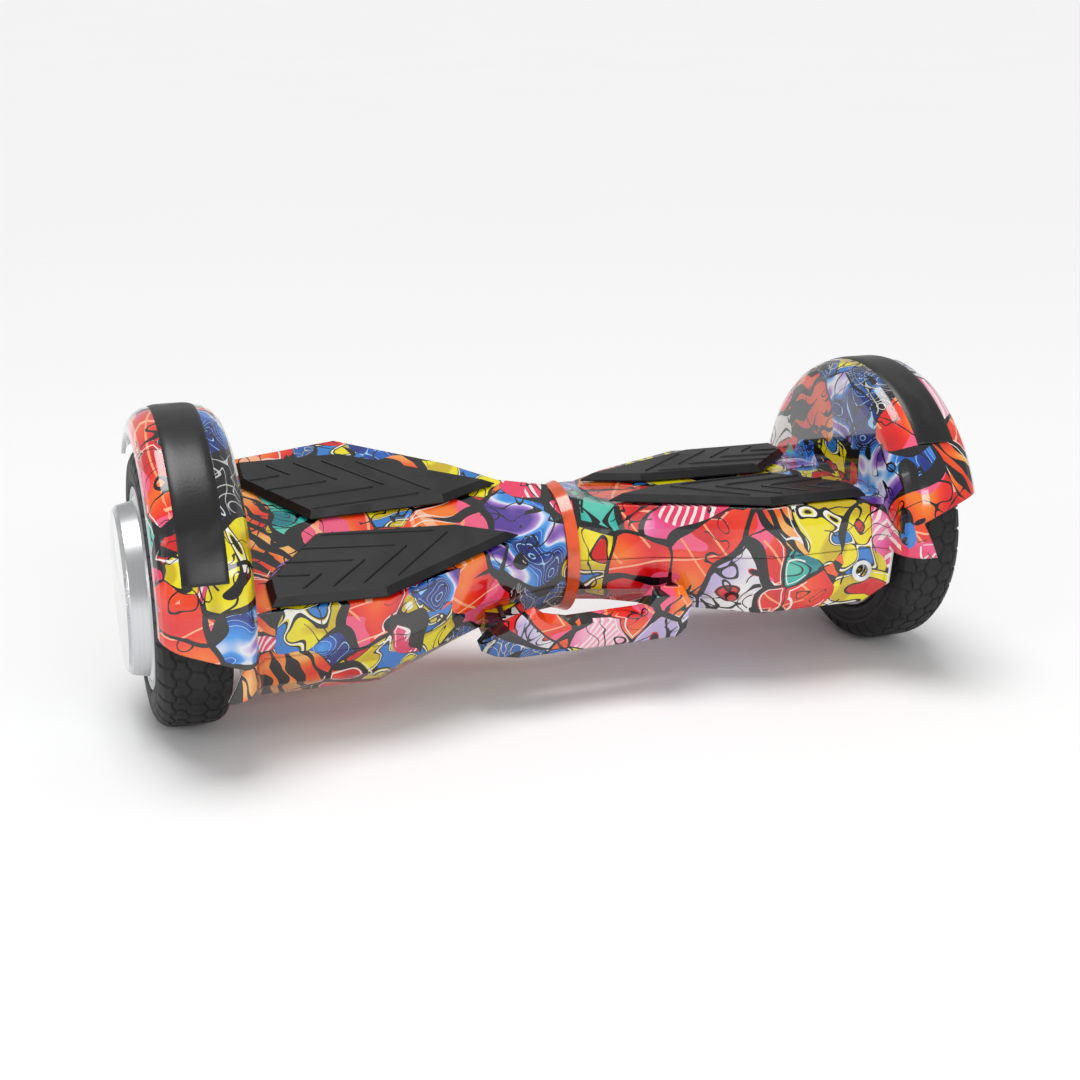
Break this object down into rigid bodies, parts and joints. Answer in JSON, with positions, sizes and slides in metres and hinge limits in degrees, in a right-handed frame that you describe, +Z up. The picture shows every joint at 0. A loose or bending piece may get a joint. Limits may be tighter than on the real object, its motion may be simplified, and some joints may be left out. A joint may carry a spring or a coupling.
{
  "type": "self balancing hoverboard",
  "caption": "Two foot decks joined by a twisting tube at the waist, each on its own hub motor wheel under a round fender, with a carry handle at the waist.",
  "frame": {"origin": "on the floor, straight under the middle of the axle line, halfway between the wheels", "axes": "+X along the axle line towards the right wheel, -Y towards the side with the charging inlet, +Z up"},
  "size_m": [0.6376, 0.254, 0.2285],
  "materials": {
    "printed_shell": "white moulded plastic with a glossy printed pattern in reds, oranges, yellows and blues",
    "cast_aluminium": "cast and machined, satin",
    "bumper_rubber": "flat black rubber strip",
    "mat_rubber": "matt black rubber with raised chevron ribs",
    "tyre_rubber": "black tyre rubber",
    "dark_screws": "dark zinc plated steel",
    "magnet_steel": "nickel plated magnets",
    "core_steel": "coated laminated steel",
    "copper_wire": "enamelled copper",
    "ground_steel": "ground steel",
    "hub_aluminium": "turned aluminium cap under a clear film",
    "circuit_board": "green circuit board",
    "black_plastic": "black moulded plastic",
    "bush_bronze": "sintered bronze",
    "collar_paint": "red and orange gloss plastic",
    "battery_wrap": "blue shrink wrap",
    "strap_fabric": "black woven strap",
    "bright_ring": "bright plated ring",
    "pin_brass": "plated contact pins",
    "button_plastic": "red gloss plastic"
  },
  "bodies": {
    "left_half": {"left_top_shell": "printed_shell", "left_bottom_shell": "printed_shell", "left_frame": "cast_aluminium", "left_bumper_strip": "bumper_rubber", "left_stator": "core_steel", "left_windings": "copper_wire", "left_axle": "ground_steel", "left_axle_clamp": "cast_aluminium", "left_clamp_bolts": "dark_screws", "left_sensor_board": "circuit_board", "left_foot_switches": "black_plastic", "left_shell_screws": "dark_screws", "joint_tube": "ground_steel", "joint_clip": "dark_screws", "twist_pin": "ground_steel", "lock_pin": "ground_steel", "battery_pack": "battery_wrap", "battery_strap": "strap_fabric", "carry_handle": "printed_shell", "handle_screws": "dark_screws"},
    "right_half": {"right_top_shell": "printed_shell", "right_bottom_shell": "printed_shell", "right_frame": "cast_aluminium", "right_bumper_strip": "bumper_rubber", "right_stator": "core_steel", "right_windings": "copper_wire", "right_axle": "ground_steel", "right_axle_clamp": "cast_aluminium", "right_clamp_bolts": "dark_screws", "right_sensor_board": "circuit_board", "right_foot_switches": "black_plastic", "right_shell_screws": "dark_screws", "joint_bushes": "bush_bronze", "joint_collar": "collar_paint", "main_board": "circuit_board", "main_board_screws": "dark_screws", "charge_port": "bright_ring", "charge_port_pins": "pin_brass", "charge_port_nut": "black_plastic", "button_housing": "black_plastic"},
    "left_wheel": {"left_tyre": "tyre_rubber", "left_rim": "cast_aluminium", "left_motor_cover": "cast_aluminium", "left_cover_screws": "dark_screws", "left_magnets": "magnet_steel", "left_bearings": "ground_steel", "left_hub_cap": "hub_aluminium"},
    "right_wheel": {"right_tyre": "tyre_rubber", "right_rim": "cast_aluminium", "right_motor_cover": "cast_aluminium", "right_cover_screws": "dark_screws", "right_magnets": "magnet_steel", "right_bearings": "ground_steel", "right_hub_cap": "hub_aluminium"},
    "left_front_mat": {"left_front_mat": "mat_rubber"},
    "left_rear_mat": {"left_rear_mat": "mat_rubber"},
    "right_front_mat": {"right_front_mat": "mat_rubber"},
    "right_rear_mat": {"right_rear_mat": "mat_rubber"},
    "power_button": {"power_button": "button_plastic"}
  },
  "joints": [
    {"name": "twist", "type": "hinge", "parent": "left_half", "child": "right_half", "pos_m": [0, 0, 0.1], "axis": [1, 0, 0], "range_deg": [0, 46]},
    {"name": "left_wheel_spin", "type": "hinge", "parent": "left_half", "child": "left_wheel", "pos_m": [-0.2783, 0, 0.1], "axis": [1, 0, 0], "continuous": true},
    {"name": "right_wheel_spin", "type": "hinge", "parent": "right_half", "child": "right_wheel", "pos_m": [0.2783, 0, 0.1], "axis": [1, 0, 0], "continuous": true},
    {"name": "left_front_mat_press", "type": "slide", "parent": "left_half", "child": "left_front_mat", "axis": [0, 0.3907, -0.9205], "range_m": [0, 0.0012], "stiffness_N_per_m": 20000},
    {"name": "left_rear_mat_press", "type": "slide", "parent": "left_half", "child": "left_rear_mat", "axis": [0, 0.3907, -0.9205], "range_m": [0, 0.0012], "stiffness_N_per_m": 20000},
    {"name": "right_front_mat_press", "type": "slide", "parent": "right_half", "child": "right_front_mat", "axis": [0, 0, -1], "range_m": [0, 0.0012], "stiffness_N_per_m": 20000},
    {"name": "right_rear_mat_press", "type": "slide", "parent": "right_half", "child": "right_rear_mat", "axis": [0, 0, -1], "range_m": [0, 0.0012], "stiffness_N_per_m": 20000},
    {"name": "power_button_press", "type": "slide", "parent": "right_half", "child": "power_button", "axis": [0.29, 0.7969, 0.5299], "range_m": [0, 0.001], "stiffness_N_per_m": 1500}
  ]
}
